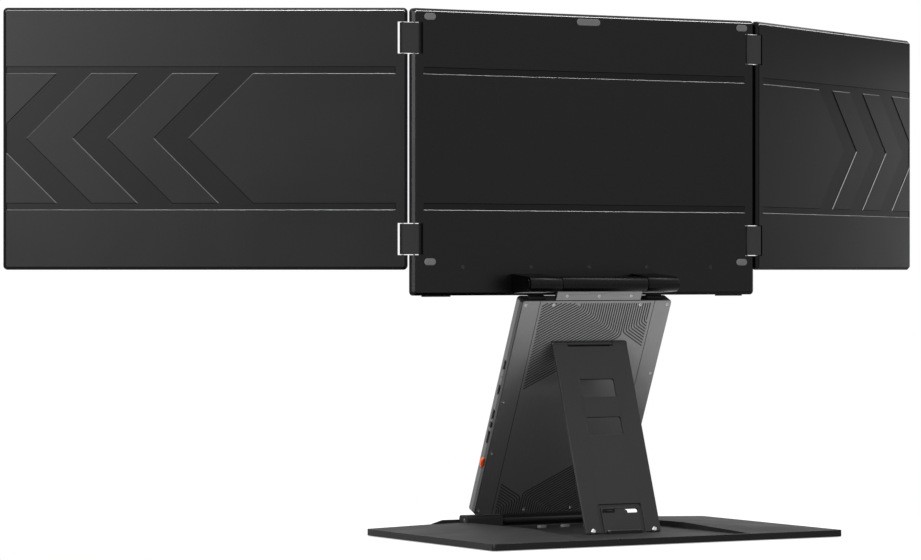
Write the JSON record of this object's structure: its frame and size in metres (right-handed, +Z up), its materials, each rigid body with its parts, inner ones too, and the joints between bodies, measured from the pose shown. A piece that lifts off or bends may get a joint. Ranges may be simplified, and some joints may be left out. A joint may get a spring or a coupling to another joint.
{
  "type": "laptop screen extender",
  "caption": "Laptop screen extender: three hinged display panels on a tilting barrel, an electronics housing leaning on a strut, and a flat weighted base.",
  "frame": {"origin": "centre of the underside of the base, on the surface that it stands on", "axes": "+Z up, the displays face -Y, +X to the right of a user who sits in front"},
  "size_m": [0.8814, 0.2896, 0.4198],
  "materials": {
    "shell": "dark grey anodised, fine bead-blasted satin",
    "coated_shell": "dark grey, matt textured powder coat",
    "light_shell": "grey anodised satin",
    "black_plastic": "black, fine grain",
    "display": "dark glossy panel, unlit",
    "backlight": "white light guide and reflector",
    "circuit": "solder mask over glass-fibre board",
    "chip": "black epoxy",
    "steel": "bright steel",
    "dark_steel": "dark grey satin paint",
    "rubber": "matt",
    "grey_rubber": "matt grey",
    "bare_aluminium": "milled",
    "orange": "orange, satin"
  },
  "bodies": {
    "base": {"base_top_shell": "coated_shell", "base_bottom_plate": "dark_steel", "grip_mat": "rubber", "ballast_plates": "dark_steel", "base_hinge_blocks": "dark_steel", "base_hinge_shaft": "steel", "foot_stop": "dark_steel", "pocket_bumpers": "grey_rubber"},
    "housing": {"housing_tray": "light_shell", "housing_rear_cover": "light_shell", "tilt_bracket": "light_shell", "tilt_tube": "dark_steel", "tilt_shaft": "steel", "lower_bracket": "dark_steel", "main_board": "circuit", "board_chips": "chip", "heat_spreader": "bare_aluminium", "usb_c_sockets": "steel", "mini_hdmi_socket": "steel", "socket_tongues": "chip", "button_switch": "chip", "dial_axle": "steel", "housing_screws": "steel", "strut_hinge_knuckle": "dark_steel", "cable_grommets": "rubber"},
    "strut": {"strut_plate": "dark_steel", "strut_pin": "steel", "strut_foot_studs": "steel"},
    "power_button": {"power_button": "black_plastic"},
    "control_dial": {"control_dial": "orange"},
    "center_screen": {"center_rear_cover": "shell", "center_bezel": "black_plastic", "center_lcd_cell": "display", "center_backlight": "backlight", "center_driver_board": "circuit", "center_hinge_lugs": "steel", "center_hinge_pins": "steel", "center_chassis_plate": "bare_aluminium", "center_cover_screws": "steel", "tilt_arms": "dark_steel", "tilt_friction_sleeves": "steel", "tilt_end_caps": "dark_steel", "rear_bumpers": "grey_rubber", "center_bottom_pads": "rubber"},
    "right_links": {"right_hinge_links": "dark_steel"},
    "left_links": {"left_hinge_links": "dark_steel"},
    "right_screen": {"right_rear_cover": "shell", "right_bezel": "black_plastic", "right_lcd_cell": "display", "right_backlight": "backlight", "right_driver_board": "circuit", "right_hinge_lugs": "steel", "right_hinge_pins": "steel"},
    "left_screen": {"left_rear_cover": "shell", "left_bezel": "black_plastic", "left_lcd_cell": "display", "left_backlight": "backlight", "left_driver_board": "circuit", "left_hinge_lugs": "steel", "left_hinge_pins": "steel"}
  },
  "joints": [
    {"name": "stand_raise", "type": "hinge", "parent": "base", "child": "housing", "pos_m": [0, -0.0905, 0.01], "axis": [1, 0, 0], "range_deg": [0, 20.5]},
    {"name": "strut_fold", "type": "hinge", "parent": "housing", "child": "strut", "pos_m": [0, -0.02229, 0.15423], "axis": [1, 0, 0], "range_deg": [-41, 0]},
    {"name": "screen_tilt", "type": "hinge", "parent": "housing", "child": "center_screen", "pos_m": [0, 0.0016, 0.2022], "axis": [1, 0, 0], "range_deg": [-90, 6]},
    {"name": "right_link_swing", "type": "hinge", "parent": "center_screen", "child": "right_links", "pos_m": [0.1582, -0.0293, 0], "axis": [0, 0, -1], "range_deg": [-4, 21]},
    {"name": "right_screen_fold", "type": "hinge", "parent": "right_links", "child": "right_screen", "pos_m": [0.16818, -0.03, 0], "axis": [0, 0, -1], "range_deg": [-26, 129]},
    {"name": "left_link_swing", "type": "hinge", "parent": "center_screen", "child": "left_links", "pos_m": [-0.1582, -0.0293, 0], "axis": [0, 0, 1], "range_deg": [-4, 86]},
    {"name": "left_screen_fold", "type": "hinge", "parent": "left_links", "child": "left_screen", "pos_m": [-0.16818, -0.03, 0], "axis": [0, 0, 1], "range_deg": [-26, 64]},
    {"name": "power_button_press", "type": "slide", "parent": "housing", "child": "power_button", "axis": [-1, 0, 0], "range_m": [0, 0.0005], "stiffness_N_per_m": 1500},
    {"name": "control_dial_turn", "type": "hinge", "parent": "housing", "child": "control_dial", "pos_m": [0.0666, -0.07268, 0.05789], "axis": [0, 0.9135, -0.4067], "range_deg": [-15, 15], "stiffness_Nm_per_rad": 0.02}
  ],
  "couplings": [
    {"joint": "strut_fold", "follows": "stand_raise", "ratio": -2}
  ]
}
